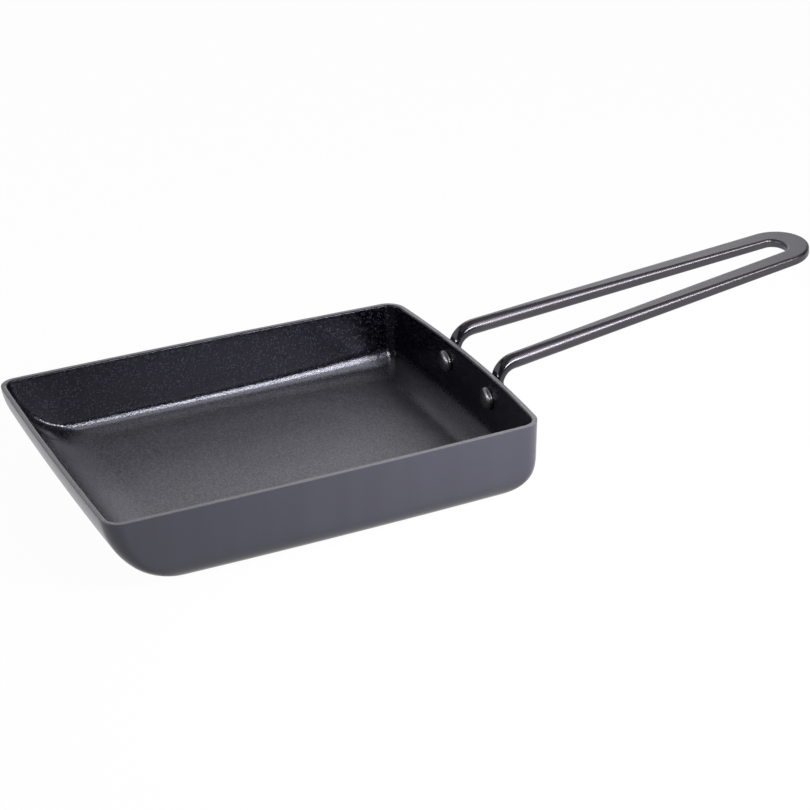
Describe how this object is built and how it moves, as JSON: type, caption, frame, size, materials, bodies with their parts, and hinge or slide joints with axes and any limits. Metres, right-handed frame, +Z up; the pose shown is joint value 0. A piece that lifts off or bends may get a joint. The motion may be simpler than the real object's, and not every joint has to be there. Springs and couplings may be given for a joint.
{
  "type": "rectangular omelette pan",
  "caption": "Small rectangular frying pan for rolled omelettes: a coated pressed tray with one curved end and a long looped rod handle riveted to its other end.",
  "frame": {"origin": "on the surface that the pan stands on, under the middle of the tray's rim", "axes": "+X along the handle away from the tray, +Y across the tray, +Z up"},
  "size_m": [0.3496, 0.132, 0.0557],
  "materials": {
    "coated_body": "pressed aluminium with a dark granular non-stick coat inside and a satin dark grey coat outside",
    "handle_rod": "dark gunmetal plated steel rod, satin to gloss",
    "rivet": "dark coated rivet heads with a satin sheen"
  },
  "bodies": {
    "root": {"pan_body": "coated_body", "handle": "handle_rod", "rivet_left": "rivet", "rivet_right": "rivet"}
  },
  "joints": []
}
